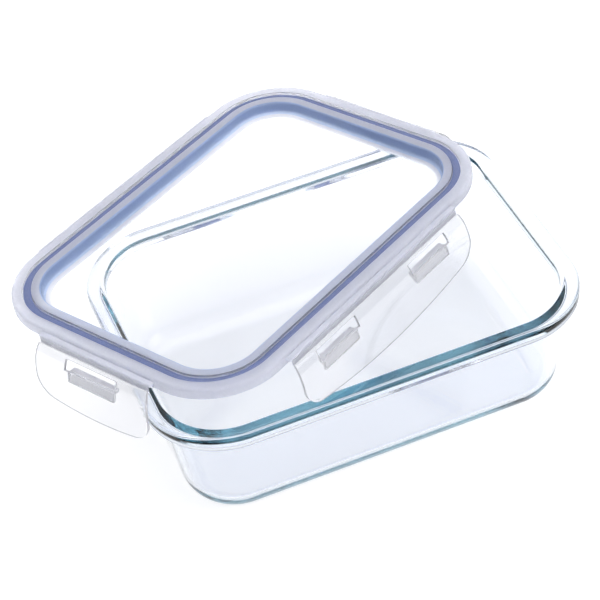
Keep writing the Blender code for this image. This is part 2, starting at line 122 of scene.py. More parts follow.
class ShaderTree:
    """The node tree of a material or a world, built one node at a time."""

    def __init__(self, owner: bpy.types.Material | bpy.types.World) -> None:
        """Start an empty tree on its owner."""
        owner.use_nodes = True
        self.owner = owner
        self.tree = owner.node_tree
        self.tree.nodes.clear()

    @classmethod
    def of_material(cls, name: str) -> "ShaderTree":
        """Start the tree of a new material."""
        return cls(bpy.data.materials.new(name))

    def node(
        self,
        kind: str,
        settings: dict[str, Any] | None = None,
        inputs: dict[Any, Any] | None = None,
        output: Any = 0,
    ) -> Value:
        """Add a node, set it up and feed its sockets.

        Args:
            kind: The node's type name.
            settings: Attributes of the node; "stops" gives a colour ramp's (place, colour) pairs.
            inputs: Values or links, keyed by the socket's name or number.
            output: Name or number of the socket to hand back.

        Returns:
            The chosen output.
        """
        node = self.tree.nodes.new(kind)
        for name, value in (settings or {}).items():
            if name == "stops":
                self._set_stops(node.color_ramp, value)
            else:
                setattr(node, name, value)
        for key, value in (inputs or {}).items():
            socket = node.inputs[key]
            if isinstance(value, Value):
                self.tree.links.new(value.socket, socket)
            elif isinstance(value, tuple) and len(value) == 3 and socket.type == "RGBA":
                socket.default_value = (*value, 1.0)
            else:
                socket.default_value = value
        return Value(self, node.outputs[output])

    @staticmethod
    def _set_stops(ramp: bpy.types.ColorRamp, stops: Sequence[tuple[float, Colour]]) -> None:
        """Give a colour ramp its stops."""
        while len(ramp.elements) < len(stops):
            ramp.elements.new(1.0)
        for element, (place, colour) in zip(ramp.elements, stops):
            element.position = place
            element.color = (*colour, 1.0)

    def noise(self, scale: float, detail: float = 3.0, stretch: Colour = (1, 1, 1)) -> Value:
        """Noise on the piece's own coordinates.

        Args:
            scale: Cells per metre.
            detail: Octaves.
            stretch: Scale along each axis.

        Returns:
            The noise, from 0 to 1.
        """
        place = self.node("ShaderNodeTexCoord", output="Object")
        mapped = self.node("ShaderNodeMapping", inputs={"Vector": place, "Scale": stretch})
        return self.node(
            "ShaderNodeTexNoise",
            inputs={"Vector": mapped, "Scale": scale, "Detail": detail, "Roughness": 0.55},
        )

    def mask(self, name: str) -> Value:
        """A value that is painted on the mesh."""
        return self.node("ShaderNodeAttribute", {"attribute_name": name}, output="Fac")

    def blend(self, factor: Feed, first: Feed, second: Feed) -> Value:
        """Mix two colours."""
        return self.node(
            "ShaderNodeMix",
            {"data_type": "RGBA"},
            {"Factor": factor, "A": first, "B": second},
            "Result",
        )

    def bump(self, height: Value, depth: float) -> Value:
        """Normal of a surface with a height of the given depth, in metres."""
        return self.node(
            "ShaderNodeBump", inputs={"Strength": 1.0, "Distance": depth, "Height": height}
        )

    def finish(self, surface: Value, volume: Value | None = None) -> bpy.types.ID:
        """Wire the output.

        Args:
            surface: The surface shader.
            volume: The volume shader, where the body takes up light.

        Returns:
            The material or world.
        """
        is_world = isinstance(self.owner, bpy.types.World)
        kind = "ShaderNodeOutputWorld" if is_world else "ShaderNodeOutputMaterial"
        output = self.tree.nodes.new(kind)
        self.tree.links.new(surface.socket, output.inputs["Surface"])
        if volume is not None:
            self.tree.links.new(volume.socket, output.inputs["Volume"])
        return self.owner


# ---------------------------------------------------------------- finishes


@dataclass(frozen=True)
class PressedGlass:
    """Clear glass, blue-green where light goes a long way through it."""

    tint: Colour = (0.940, 0.948, 0.988)
    cooler: Colour = (0.925, 0.936, 0.982)
    index: float = 1.50
    taken_up: Colour = (0.13, 0.50, 0.60)
    density: float = 9.5
    tint_scale: float = 18.0
    ripple_scale: float = 55.0
    ripple_depth: float = 0.00002
    wear_scale: float = 240.0
    roughness: float = 0.012

    def material(self, name: str) -> bpy.types.Material:
        """Build the material."""
        tree = ShaderTree.of_material(name)
        ripple = tree.noise(self.ripple_scale, 2.0)
        colour = tree.blend(tree.noise(self.tint_scale, 2.0), self.tint, self.cooler)
        body = tree.node(
            "ShaderNodeBsdfPrincipled",
            inputs={
                "Base Color": colour,
                "Roughness": tree.noise(self.wear_scale) * self.roughness,
                "IOR": self.index,
                "Transmission Weight": 1.0,
                "Normal": tree.bump(ripple, self.ripple_depth),
            },
        )
        volume = tree.node(
            "ShaderNodeVolumeAbsorption",
            inputs={"Color": self.taken_up, "Density": self.density},
        )
        return tree.finish(body, volume)


@dataclass(frozen=True)
class ClearPlastic:
    """Moulded polypropylene: clear where it is thin, milky where the mesh is marked so, with the
    seal's blue painted in as painted light where that is marked.
    """

    clear: Colour
    milky: Colour
    least_milk: float
    most_milk: float
    roughness: float
    index: float = 1.49
    haze: float = 0.5
    # Painted light: the seal's blue, painted into the milky and the clear colour where the mesh is
    # marked.
    painted_light_milky: Colour = (0.40, 0.56, 0.90)
    painted_light_clear: Colour = (0.60, 0.73, 0.96)
    grain_scale: float = 900.0
    grain_depth: float = 0.000004
    flow_scale: float = 38.0
    flow_stretch: Colour = (1.0, 1.0, 0.4)
    flow_milk: float = 0.04
    flow_shade: float = 0.93
    milky_roughness: float = 0.22
    grain_roughness: float = 0.1

    def material(self, name: str) -> bpy.types.Material:
        """Build the material."""
        tree = ShaderTree.of_material(name)
        grain = tree.noise(self.grain_scale, 4.0)
        flow = tree.noise(self.flow_scale, stretch=self.flow_stretch)
        normal = tree.bump(grain, self.grain_depth)
        haze = tree.mask(MILK) * self.haze + (flow + 0.5) * self.roughness
        # Painted light: this mark blends the seal's blue into both colours on the recess wall.
        painted_light_share = tree.mask(PAINTED_SEAL_LIGHT)
        clear = tree.node(
            "ShaderNodeBsdfPrincipled",
            inputs={
                "Base Color": tree.blend(painted_light_share, self.clear, self.painted_light_clear),
                "Roughness": haze,
                "IOR": self.index,
                "Transmission Weight": 1.0,
                "Normal": normal,
            },
        )
        darker = tuple(part * self.flow_shade for part in self.milky)
        mottled = tree.blend(flow, self.milky, darker)
        milky = tree.node(
            "ShaderNodeBsdfPrincipled",
            inputs={
                "Base Color": tree.blend(painted_light_share, mottled, self.painted_light_milky),
                "Roughness": self.milky_roughness + grain * self.grain_roughness,
                "IOR": self.index,
                "Transmission Weight": 0.0,
                "Normal": normal,
            },
        )
        spread = self.most_milk - self.least_milk
        share = tree.mask(MILK) * spread + self.least_milk + (flow - 0.5) * self.flow_milk
        surface = tree.node("ShaderNodeMixShader", inputs={0: share, 1: clear, 2: milky})
        return tree.finish(surface)


@dataclass(frozen=True)
class SoftSilicone:
    """Blue silicone with a faint matt grain."""

    colour: Colour
    paler: Colour
    roughness: float = 0.42
    index: float = 1.41
    cloud_scale: float = 60.0
    grain_scale: float = 2200.0
    grain_depth: float = 0.00002
    grain_roughness: float = 0.15

    def material(self, name: str) -> bpy.types.Material:
        """Build the material."""
        tree = ShaderTree.of_material(name)
        cloud = tree.noise(self.cloud_scale)
        grain = tree.noise(self.grain_scale)
        body = tree.node(
            "ShaderNodeBsdfPrincipled",
            inputs={
                "Base Color": tree.blend(cloud, self.colour, self.paler),
                "Roughness": self.roughness + grain * self.grain_roughness,
                "IOR": self.index,
                "Normal": tree.bump(grain, self.grain_depth),
            },
        )
        return tree.finish(body)


GLASS = PressedGlass()
LID_PLASTIC = ClearPlastic(
    clear=(0.985, 0.985, 0.995),
    milky=(0.78, 0.79, 0.88),
    least_milk=0.0,
    most_milk=0.6,
    roughness=0.02,
    haze=1.4,
    grain_depth=0.0000004,
)
LATCH_PLASTIC = ClearPlastic(
    clear=(0.985, 0.985, 0.992),
    milky=(0.97, 0.96, 1.00),
    least_milk=0.12,
    most_milk=0.55,
    roughness=0.04,
    haze=0.9,
)
HINGE_PLASTIC = ClearPlastic(
    clear=(0.96, 0.96, 0.98),
    milky=(0.72, 0.73, 0.80),
    least_milk=0.3,
    most_milk=0.5,
    roughness=0.2,
)
BLUE_SILICONE = SoftSilicone(colour=(0.10, 0.16, 0.42), paler=(0.13, 0.19, 0.48))


# ---------------------------------------------------------------- modelling helpers

Corner = tuple[float, float, float]


@dataclass
class SectionSweep:
    """Carries a section round a rounded rectangle that is centred on the Z axis."""

    half_x: float
    half_y: float
    radius: float
    corner_steps: int = 28
    long_stops: Sequence[float] = ()
    short_stops: Sequence[float] = ()

    def section(
        self, mesh: bmesh.types.BMesh, corners: Sequence[Corner], closed: bool, steps: int = 6
    ) -> None:
        """Draw the section as a polyline at the start of the +X side, with rounded corners.

        Args:
            mesh: The mesh to draw in.
            corners: (inset from the edge, height, length rounded off) of each corner.
            closed: Whether the last corner joins the first.
            steps: Segments of each rounding.
        """
        start = self.radius - self.half_y
        verts = [mesh.verts.new((self.half_x - c[0], start, c[1])) for c in corners]
        pairs = list(zip(verts, verts[1:]))
        if closed:
            pairs.append((verts[-1], verts[0]))
        for pair in pairs:
            mesh.edges.new(pair)
        for vert, corner in zip(verts, corners):
            if corner[2] > 0.0:
                bmesh.ops.bevel(
                    mesh,
                    geom=[vert],
                    offset=corner[2],
                    offset_type="OFFSET",
                    segments=steps if corner[2] > 0.5 * MM else 2,
                    profile=0.5,
                    affect="VERTICES",
                    material=-1,
                )

    def _along(self, mesh: bmesh.types.BMesh, edges: list, way: Vector, length: float) -> list:
        """Extrude a section's edges along a straight side."""
        made = bmesh.ops.extrude_edge_only(mesh, edges=edges)["geom"]
        verts = [item for item in made if isinstance(item, bmesh.types.BMVert)]
        bmesh.ops.translate(mesh, vec=way * length, verts=verts)
        return [item for item in made if isinstance(item, bmesh.types.BMEdge)]

    def sweep(self, mesh: bmesh.types.BMesh) -> None:
        """Carry the section once round and close the ring."""
        edges = list(mesh.edges)
        for index in range(4):
            turn = Matrix.Rotation(math.radians(90.0 * index), 3, "Z")
            other = self.half_x if index % 2 else self.half_y
            reach = self.half_y if index % 2 else self.half_x
            half = other - self.radius
            stops = self.long_stops if index % 2 else self.short_stops
            places = [-half, *sorted(stops), half]
            for before, after in zip(places, places[1:]):
                edges = self._along(mesh, edges, turn @ Vector((0, 1, 0)), after - before)
            ends = dict.fromkeys(vert for edge in edges for vert in edge.verts)
            made = bmesh.ops.spin(
                mesh,
                geom=[*ends, *edges],
                cent=turn @ Vector((reach - self.radius, half, 0)),
                axis=(0, 0, 1),
                angle=math.radians(90.0),
                steps=self.corner_steps,
                use_merge=False,
            )["geom_last"]
            edges = [item for item in made if isinstance(item, bmesh.types.BMEdge)]
        bmesh.ops.remove_doubles(mesh, verts=mesh.verts, dist=0.001 * MM)


def fill_ends(mesh: bmesh.types.BMesh, lip: float) -> None:
    """Close the open ends of a swept section with flat faces that have a narrow flat border."""
    loops = [edge for edge in mesh.edges if edge.is_boundary]
    made = bmesh.ops.edgeloop_fill(mesh, edges=loops)["faces"]
    bmesh.ops.recalc_face_normals(mesh, faces=mesh.faces)
    for face in made:
        bmesh.ops.inset_region(mesh, faces=[face], thickness=lip, use_even_offset=True)


def paint(
    mesh: bmesh.types.BMesh, rule: Callable[[Vector], float], name: str = MILK
) -> None:
    """Write a share at each vertex, such as how milky the body is there.

    Args:
        mesh: The mesh.
        rule: Gives the share at a point.
        name: The attribute to write.
    """
    layer = mesh.verts.layers.float.new(name)
    for vert in mesh.verts:
        vert[layer] = rule(vert.co)


def round_edges(
    mesh: bmesh.types.BMesh, width: float, sharper: float, among: Iterable | None = None
) -> None:
    """Bevel the edges that are sharper than an angle.

    Args:
        mesh: The mesh.
        width: Width of the rounding.
        sharper: The angle, in degrees.
        among: The edges to look at; all of them if none are given.
    """
    limit = math.radians(sharper)
    looked_at = mesh.edges if among is None else among
    edges = [edge for edge in looked_at if edge.is_manifold and edge.calc_face_angle() > limit]
    bmesh.ops.bevel(
        mesh,
        geom=edges,
        offset=width,
        offset_type="OFFSET",
        segments=3,
        profile=0.5,
        affect="EDGES",
        clamp_overlap=True,
        material=-1,
    )


@dataclass
class Piece:
    """A finished piece of the container."""

    name: str
    slot: Slot
    node: str

    def make(
        self, mesh: bmesh.types.BMesh, material: bpy.types.Material, sharp: float = 50.0
    ) -> bpy.types.Object:
        """Turn a mesh into an object at the origin that stands for its CAD node.

        Args:
            mesh: The shape, in the container's frame; it is freed.
            material: Its finish.
            sharp: Angle in degrees above which an edge stays sharp.

        Returns:
            The object.
        """
        bmesh.ops.recalc_face_normals(mesh, faces=mesh.faces)
        if mesh.calc_volume(signed=True) < 0.0:
            bmesh.ops.reverse_faces(mesh, faces=mesh.faces)
        data = bpy.data.meshes.new(self.name)
        mesh.to_mesh(data)
        mesh.free()
        data.polygons.foreach_set("use_smooth", [True] * len(data.polygons))
        data.set_sharp_from_angle(angle=math.radians(sharp))
        data.materials.append(material)
        item = bpy.data.objects.new(self.name, data)
        bpy.context.scene.collection.objects.link(item)
        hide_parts(self.node)
        LOG.info("%s: %d faces", self.name, len(data.polygons))
        return item


# ---------------------------------------------------------------- tray


@dataclass
class GlassTray:
    """The pressed glass box with a flange round its mouth."""

    half_x: float = 102.5 * MM
    half_y: float = 75.4 * MM
    corner_radius: float = 36.9 * MM
    height: float = 61.8 * MM
    rim_depth: float = 6.3 * MM
    overhang: float = 6.5 * MM
    wall: float = 2.7 * MM
    taper: float = 0.115
    floor: float = 3.4 * MM
    base_round: float = 14.0 * MM
    floor_round: float = 12.0 * MM
    flat_border: float = 2.0 * MM
    neck_round: float = 1.8 * MM
    flange_round: float = 1.2 * MM
    mouth_round: float = 2.0 * MM
    flat_start: float = 0.3 * MM
    corner_steps: int = 36
    section_steps: int = 12

    def _outer(self, height: float) -> float:
        """Inset of the outer wall at a height."""
        return self.overhang + self.taper * (self.height - self.rim_depth - height)

    def corners(self) -> list[Corner]:
        """Section from under the floor, up the wall, over the flange and down to the floor."""
        neck = self.height - self.rim_depth
        inner = self.wall
        end = self._outer(0.0) + self.base_round + inner + self.flat_start
        return [
            (end, 0.0, 0.0),
            (self._outer(0.0), 0.0, self.base_round),
            (self._outer(neck), neck, self.neck_round),
            (0.0, neck, self.flange_round),
            (0.0, self.height, self.mouth_round),
            (self._outer(self.height) + inner, self.height, self.mouth_round),
            (self._outer(self.floor) + inner, self.floor, self.floor_round),
            (end, self.floor, 0.0),
        ]

    def build(self) -> bpy.types.Object:
        """Model the tray and dress it in glass."""
        mesh = bmesh.new()
        path = SectionSweep(self.half_x, self.half_y, self.corner_radius, self.corner_steps)
        path.section(mesh, self.corners(), closed=False, steps=self.section_steps)
        path.sweep(mesh)
        fill_ends(mesh, self.flat_border)
        piece = Piece("glass_tray_body", Slot.GLASS, "glass_tray")
        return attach(piece.make(mesh, GLASS.material("pressed_glass"), sharp=60.0), "tray")


# ---------------------------------------------------------------- lid


@dataclass
class LidPlace:
    """Where the lid and its hinges lie, from the frame's joints."""

    joints: dict[str, dict] = field(
        default_factory=lambda: {joint["name"]: joint for joint in frame["joints"]}
    )
    hinge_height: float = 1.0 * MM
    full_open: float = 100.0

    def hinge(self, side: Side) -> dict:
        """The joint of one latch."""
        return self.joints[f"{side.value}_latch_hinge"]

    def hinge_axis(self, side: Side) -> Vector:
        """Direction along a hinge, with the lid's middle on its left."""
        return -Vector(self.hinge(side)["axis"]).normalized()

    def matrix(self) -> Matrix:
        """The lid's own frame, centred on the lower edge of its skirt."""
        along = self.hinge_axis(Side.FRONT)
        up = along.cross(self.hinge_axis(Side.RIGHT)).normalized()
        front = Vector(self.hinge(Side.FRONT)["pos_m"])
        back = Vector(self.hinge(Side.BACK)["pos_m"])
        middle = (front + back) / 2 - up * self.hinge_height
        turn = Matrix((along, up.cross(along), up)).transposed().to_4x4()
        return Matrix.Translation(middle) @ turn

    def hinge_matrix(self, side: Side) -> Matrix:
        """Frame of a hinge: X along it, -Y out of the lid, Z up."""
        along = self.hinge_axis(side)
        up = self.matrix().to_3x3() @ Vector((0, 0, 1))
        turn = Matrix((along, up.cross(along), up)).transposed().to_4x4()
        return Matrix.Translation(Vector(self.hinge(side)["pos_m"])) @ turn

    def open_angle(self, side: Side) -> float:
        """How far a latch hangs open at rest, in radians."""
        return math.radians(self.full_open - self.hinge(side)["range_deg"][1])


@dataclass
class LatchSize:
    """Width, bow and lock bars of a latch."""

    half: float
    bow: float
    bars: tuple[float, ...]
    bar_half: float


LONG_LATCH = LatchSize(58.0 * MM, 5.8 * MM, (-32.0 * MM, 32.0 * MM), 11.5 * MM)
SHORT_LATCH = LatchSize(31.6 * MM, 3.6 * MM, (0.0,), 13.0 * MM)


@dataclass
class LidOutline:
    """The lid's outer edge, from which its section and the seal's are measured."""

    half_x: float = 98.7 * MM
    half_y: float = 71.6 * MM
    corner_radius: float = 34.6 * MM


@dataclass
class LidShell(LidOutline):
    """The clear moulding: sunken panel, raised band, skirt, ribs and hinge blocks."""

    top: float = 5.4 * MM
    skin: float = 1.8 * MM
    skirt: float = 1.7 * MM
    band: float = 13.3 * MM
    panel_top: float = -0.8 * MM
    panel_bottom: float = -2.4 * MM
    inner_wall: float = 1.4 * MM
    draft: float = 0.3 * MM
    rib: float = 1.2 * MM
    outer_rib: float = 3.6 * MM
    inner_rib: float = 9.2 * MM
    block_out: float = 2.4 * MM
    block_bottom: float = 1.8 * MM
    block_top: float = 3.5 * MM
    block_beyond: float = 1.0 * MM
    block_round: float = 0.45 * MM
    outer_rib_bottom: float = 1.0 * MM
    flat_edge: float = 4.0 * MM
    flat_border: float = 3.0 * MM
    panel_round: float = 1.2 * MM
    band_round: float = 0.9 * MM
    shoulder_round: float = 1.4 * MM
    inside_round: float = 0.3 * MM
    rib_round: float = 0.25 * MM
    milk_ends: float = 0.2 * MM
    clear_starts: float = 0.3 * MM
    wall_margin: float = 0.95 * MM
    panel_margin: float = 1.6 * MM
    inner_milk: float = 0.6
    outer_milk: float = 0.75

    def corners(self) -> list[Corner]:
        """Section from the panel's top, over the band, round the skirt and back below."""
        ceiling = self.top - self.skin
        wall = self.band - self.inner_wall
        end = self.band + self.flat_edge
        soft = self.inside_round
        points = [
            (end, self.panel_top, 0.0),
            (self.band + self.draft, self.panel_top, self.panel_round),
            (self.band, self.top, self.band_round),
            (self.inner_rib + self.milk_ends, self.top, 0.0),
            (self.inner_rib - self.clear_starts, self.top, 0.0),
            (self.outer_rib + self.rib + self.clear_starts, self.top, 0.0),
            (self.outer_rib + self.rib - self.milk_ends, self.top, 0.0),
            (0.0, self.top, self.shoulder_round),
            (0.0, self.block_top, 0.0),
            (0.0, self.block_bottom, 0.0),
            (0.0, 0.0, soft),
            (self.skirt, 0.0, soft),
            (self.skirt, ceiling, soft),
        ]
        for start, bottom in ((self.outer_rib, self.outer_rib_bottom), (self.inner_rib, 0.0)):
            points += [
                (start, ceiling, soft),
                (start, bottom, self.rib_round),
                (start + self.rib, bottom, self.rib_round),
                (start + self.rib, ceiling, soft),
            ]
        points.append((wall, ceiling, soft))
        points.append((wall + self.draft, self.panel_bottom, self.panel_round))
        points.append((end, self.panel_bottom, 0.0))
        return points

    def _add_blocks(self, mesh: bmesh.types.BMesh) -> None:
        """Push the hinge blocks out of the skirt above the latches."""
        for side in Side:
            long = side.is_long
            half = (LONG_LATCH if long else SHORT_LATCH).half + self.block_beyond
            reach = self.half_y if long else self.half_x
            sign = 1.0 if side in (Side.BACK, Side.RIGHT) else -1.0
            out = Vector((0.0, sign, 0.0)) if long else Vector((sign, 0.0, 0.0))
            faces = []
            for face in mesh.faces:
                middle = face.calc_center_median()
                along = middle.x if long else middle.y
                if (
                    middle.dot(out) > reach - 0.01 * MM
                    and abs(along) < half
                    and self.block_bottom < middle.z < self.block_top
                ):
                    faces.append(face)
            made = bmesh.ops.extrude_face_region(mesh, geom=faces)["geom"]
            verts = [item for item in made if isinstance(item, bmesh.types.BMVert)]
            bmesh.ops.translate(mesh, vec=out * self.block_out, verts=verts)
            bmesh.ops.delete(mesh, geom=faces, context="FACES")
            block_edges = dict.fromkeys(edge for vert in verts for edge in vert.link_edges)
            round_edges(mesh, self.block_round, 50.0, block_edges)

    def _inset(self, place: Vector) -> float:
        """How far in from the lid's outer edge a point lies."""
        past_x = max(abs(place.x) - (self.half_x - self.corner_radius), 0.0)
        past_y = max(abs(place.y) - (self.half_y - self.corner_radius), 0.0)
        return self.corner_radius - math.hypot(past_x, past_y)

    def _milk(self, place: Vector) -> float:
        """Share of milkiness: none in the panel and over the seal, most outside and inside it."""
        inset = self._inset(place)
        if inset > self.band + self.panel_margin:
            return 0.0
        if inset > self.inner_rib - 0.1 * MM:
            return self.inner_milk
        return self.outer_milk if inset < self.outer_rib + self.rib - 0.1 * MM else 0.0

    def _painted_light_share(self, place: Vector) -> float:
        """Share of painted light on the recess wall: the seal's blue, painted into the wall's colour
        in front of the seal.
        """
        on_wall = self._inset(place) > self.band - self.wall_margin
        between = self.panel_top + 0.05 * MM < place.z < self.top - 0.05 * MM
        return 1.0 if on_wall and between else 0.0

    def build(self, place: LidPlace) -> bpy.types.Object:
        """Model the moulding and dress it.

        Args:
            place: Where the lid lies.

        Returns:
            The object.
        """
        long_half, short_half = (
            size.half + self.block_beyond for size in (LONG_LATCH, SHORT_LATCH)
        )
        mesh = bmesh.new()
        path = SectionSweep(
            self.half_x,
            self.half_y,
            self.corner_radius,
            long_stops=(-long_half, long_half),
            short_stops=(-short_half, short_half),
        )
        path.section(mesh, self.corners(), closed=False)
        path.sweep(mesh)
        fill_ends(mesh, self.flat_border)
        self._add_blocks(mesh)
        paint(mesh, self._milk)
        # Marks the recess wall where the seal's blue is painted in as painted light.
        paint(mesh, self._painted_light_share, PAINTED_SEAL_LIGHT)
        mesh.transform(place.matrix())
        piece = Piece("lid_moulding", Slot.LID, "lid_shell")
        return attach(piece.make(mesh, LID_PLASTIC.material("lid_polypropylene")), "lid")


@dataclass
class SealRing(LidOutline):
    """The silicone ring in the channel under the raised band."""

    outer: float = 5.1 * MM
    inner: float = 8.9 * MM
    top: float = 3.3 * MM
    top_round: float = 0.4 * MM
    wing_end: float = 11.6 * MM
    wing_top: float = -0.3 * MM
    wing_bottom: float = -0.9 * MM
    wing_round: float = 0.2 * MM
    lip_root: float = 7.0 * MM
    lip_tip: float = 6.35 * MM
    lip_bottom: float = -2.0 * MM
    lip_round: float = 0.6 * MM

    def corners(self) -> list[Corner]:
        """Closed section: a body in the channel, a wing inside it and a lip for the mouth."""
        return [
            (self.outer, self.top, self.top_round),
            (self.inner, self.top, self.top_round),
            (self.inner, self.wing_top, 0.0),
            (self.wing_end, self.wing_top, self.wing_round),
            (self.wing_end, self.wing_bottom, self.wing_round),
            (self.lip_root, self.wing_bottom, self.top_round),
            (self.lip_tip, self.lip_bottom, self.lip_round),
            (self.outer, self.lip_bottom, self.lip_round),
        ]

    def build(self, place: LidPlace) -> bpy.types.Object:
        """Model the seal and dress it.

        Args:
            place: Where the lid lies.

        Returns:
            The object.
        """
        mesh = bmesh.new()
        path = SectionSweep(self.half_x, self.half_y, self.corner_radius)
        path.section(mesh, self.corners(), closed=True, steps=4)
        path.sweep(mesh)
        mesh.transform(place.matrix())
        piece = Piece("seal_ring", Slot.SEAL, "silicone_seal")
        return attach(piece.make(mesh, BLUE_SILICONE.material("blue_silicone")), "lid")


# ---------------------------------------------------------------- latches


@dataclass
class Latch:
    """One snap latch: a flared plate with a bowed edge, windows and lock bars."""

    side: Side
    size: LatchSize
    clearance: float = 0.8 * MM
    drop: float = 27.8 * MM
    corner_radius: float = 8.5 * MM
    thickness: float = 1.4 * MM
    flare: float = 5.0 * MM
    flare_length: float = 5.0 * MM
    bulge: float = 1.2 * MM
    bulge_length: float = 6.0 * MM
    window_top: float = 2.2 * MM
    window_side: float = 1.6 * MM
    bar_top: float = 7.5 * MM
    bar_height: float = 4.9 * MM
    bar_reach: float = 3.6 * MM
    bar_foot: float = 1.2 * MM
    bar_nose: float = 1.6 * MM
    bar_notch: float = 1.1 * MM
    window_gap: float = 0.4 * MM
    notched_end: float = 0.2 * MM
    window_rows: tuple[float, ...] = (1.5 * MM, 4.0 * MM, 5.6 * MM)
    foot_row: float = 2.0 * MM
    lower_rows: int = 9
    columns: int = 16
    corner_columns: int = 12
    edge_round: float = 0.3 * MM
    edge_milk: float = 0.8
    edge_fade: float = 1.6
    bar_fade: float = 1.0 * MM

    def _lower_edge(self, along: float) -> float:
        """Drop of the lower edge, bowed and with round corners."""
        share = min(abs(along) / self.size.half, 1.0)
        past = max(abs(along) - (self.size.half - self.corner_radius), 0.0)
        left = math.sqrt(max(self.corner_radius**2 - past**2, 0.0))
        return self.drop - self.size.bow * share**2 - (self.corner_radius - left)

    def _place(self, along: float, drop: float) -> Vector:
        """Point of the plate's middle surface, in the hinge's frame."""
        out = self.flare * (1 - math.exp(-drop / self.flare_length))
        wider = 1 + self.bulge * (1 - math.exp(-drop / self.bulge_length)) / self.size.half
        return Vector((along * wider, -out, -drop))

    def _in_bar(self, middle: Vector) -> bool:
        """Whether a flat cell's middle lies on a lock bar."""
        near = min(abs(middle.x - bar) for bar in self.size.bars)
        return near < self.size.bar_half and self.bar_top < middle.y < self.bar_top + self.bar_height

    def _in_window(self, middle: Vector) -> bool:
        """Whether a flat cell's middle lies in the window above a lock bar."""
        near = min(abs(middle.x - bar) for bar in self.size.bars)
        return (
            near < self.size.bar_half + self.window_side
            and self.window_top < middle.y < self.bar_top - self.window_gap
        )

    def _columns(self) -> list[float]:
        """Where the flat sheet is cut across."""
        half = self.size.half
        cuts = [half * step / self.columns for step in range(1 - self.columns, self.columns)]
        flat = half - self.corner_radius
        for step in range(1, self.corner_columns):
            angle = math.radians(90.0 * step / self.corner_columns)
            reach = flat + self.corner_radius * math.sin(angle)
            cuts += [reach, -reach]
        for bar in self.size.bars:
            for way in (-1, 1):
                edge = bar + way * self.size.bar_half
                cuts += [edge, edge - way * self.bar_notch, edge + way * self.window_side]
        return cuts

    def _rows(self) -> list[float]:
        """Where the flat sheet is cut along."""
        foot = self.bar_top + self.bar_height
        below = self.drop - foot
        return [
            *self.window_rows,
            self.window_top,
            self.bar_top - self.window_gap,
            self.bar_top,
            self.bar_top + self.bar_nose,
            foot - self.foot_row,
            foot,
            *(foot + below * step / self.lower_rows for step in range(1, self.lower_rows)),
        ]

    def _sheet(self) -> bmesh.types.BMesh:
        """Flat sheet cut into cells, without its windows, bent to the plate's shape."""
        mesh = bmesh.new()
        bmesh.ops.create_grid(mesh, x_segments=1, y_segments=1, size=0.5)
        depth = self.drop - self.clearance
        bmesh.ops.scale(mesh, vec=(2 * self.size.half, depth, 1.0), verts=mesh.verts)
        bmesh.ops.translate(mesh, vec=(0, self.clearance + depth / 2, 0), verts=mesh.verts)
        cuts = [(Vector((x, 0, 0)), Vector((1, 0, 0))) for x in self._columns()]
        cuts += [(Vector((0, y, 0)), Vector((0, 1, 0))) for y in self._rows()]
        for point, normal in cuts:
            bmesh.ops.bisect_plane(
                mesh,
                geom=[*mesh.verts, *mesh.edges, *mesh.faces],
                dist=0.0005 * MM,
                plane_co=point,
                plane_no=normal,
            )
        bar = mesh.faces.layers.int.new("bar")
        for face in mesh.faces:
            face[bar] = int(self._in_bar(face.calc_center_median()))
        holes = [face for face in mesh.faces if self._in_window(face.calc_center_median())]
        bmesh.ops.delete(mesh, geom=holes, context="FACES")
        foot = self.bar_top + self.bar_height
        for vert in mesh.verts:
            along, drop = vert.co.x, vert.co.y
            if drop > foot:
                share = (drop - foot) / (self.drop - foot)
                drop = foot + (self._lower_edge(along) - foot) * share
            vert.co = self._place(along, drop)
        return mesh

    def _thicken(self, mesh: bmesh.types.BMesh) -> list:
        """Thicken the sheet about its middle and hand back the inner faces under the lock bars."""
        mesh.normal_update()
        for face in mesh.faces:
            if face.normal.y > 0.0:
                face.normal_flip()
        mesh.normal_update()
        for vert in mesh.verts:
            vert.co += vert.normal * (self.thickness / 2)
        bmesh.ops.solidify(mesh, geom=mesh.faces[:], thickness=self.thickness)
        mesh.normal_update()
        bmesh.ops.recalc_face_normals(mesh, faces=mesh.faces)
        bar = mesh.faces.layers.int["bar"]
        return [face for face in mesh.faces if face[bar] and face.normal.y > 0.2]

    def _raise_bars(self, mesh: bmesh.types.BMesh, faces: list) -> None:
        """Pull the lock bars out of the inner face, with a nose, a foot and notched ends."""
        made = bmesh.ops.extrude_face_region(mesh, geom=faces)["geom"]
        bmesh.ops.delete(mesh, geom=faces, context="FACES")
        verts = [item for item in made if isinstance(item, bmesh.types.BMVert)]
        nose = self.bar_top + self.bar_nose
        foot = self.bar_top + self.bar_height
        for vert in verts:
            drop = -vert.co.z
            share = min(max((drop - nose) / (foot - nose), 0.0), 1.0)
            vert.co.y += self.bar_reach + (self.bar_foot - self.bar_reach) * share
            for bar in self.size.bars:
                past = abs(vert.co.x - bar) - (self.size.bar_half - self.notched_end)
                if past > 0.0 and 0.1 < share < 0.9:
                    vert.co.x -= math.copysign(self.bar_notch, vert.co.x - bar)

    def _paint_edges_and_bars(self, mesh: bmesh.types.BMesh) -> None:
        """Mark the plate's cut edges and the lock bars as milkier than the plate."""
        half = self.thickness / 2
        step = 0.5 * MM
        mesh.normal_update()
        milk = mesh.verts.layers.float.new(MILK)
        for vert in mesh.verts:
            drop = max(-vert.co.z, 0.0)
            above = self._place(0.0, max(drop - step, 0.0))
            below = self._place(0.0, drop + step)
            plate = (below - above).cross(Vector((1, 0, 0))).normalized()
            raised = (vert.co.y - self._place(0.0, drop).y - half) / self.bar_fade
            facing = min(abs(vert.normal.dot(plate)) * self.edge_fade, 1.0)
            edge = self.edge_milk * (1.0 - facing)
            vert[milk] = max(min(raised, 1.0), edge, 0.0)

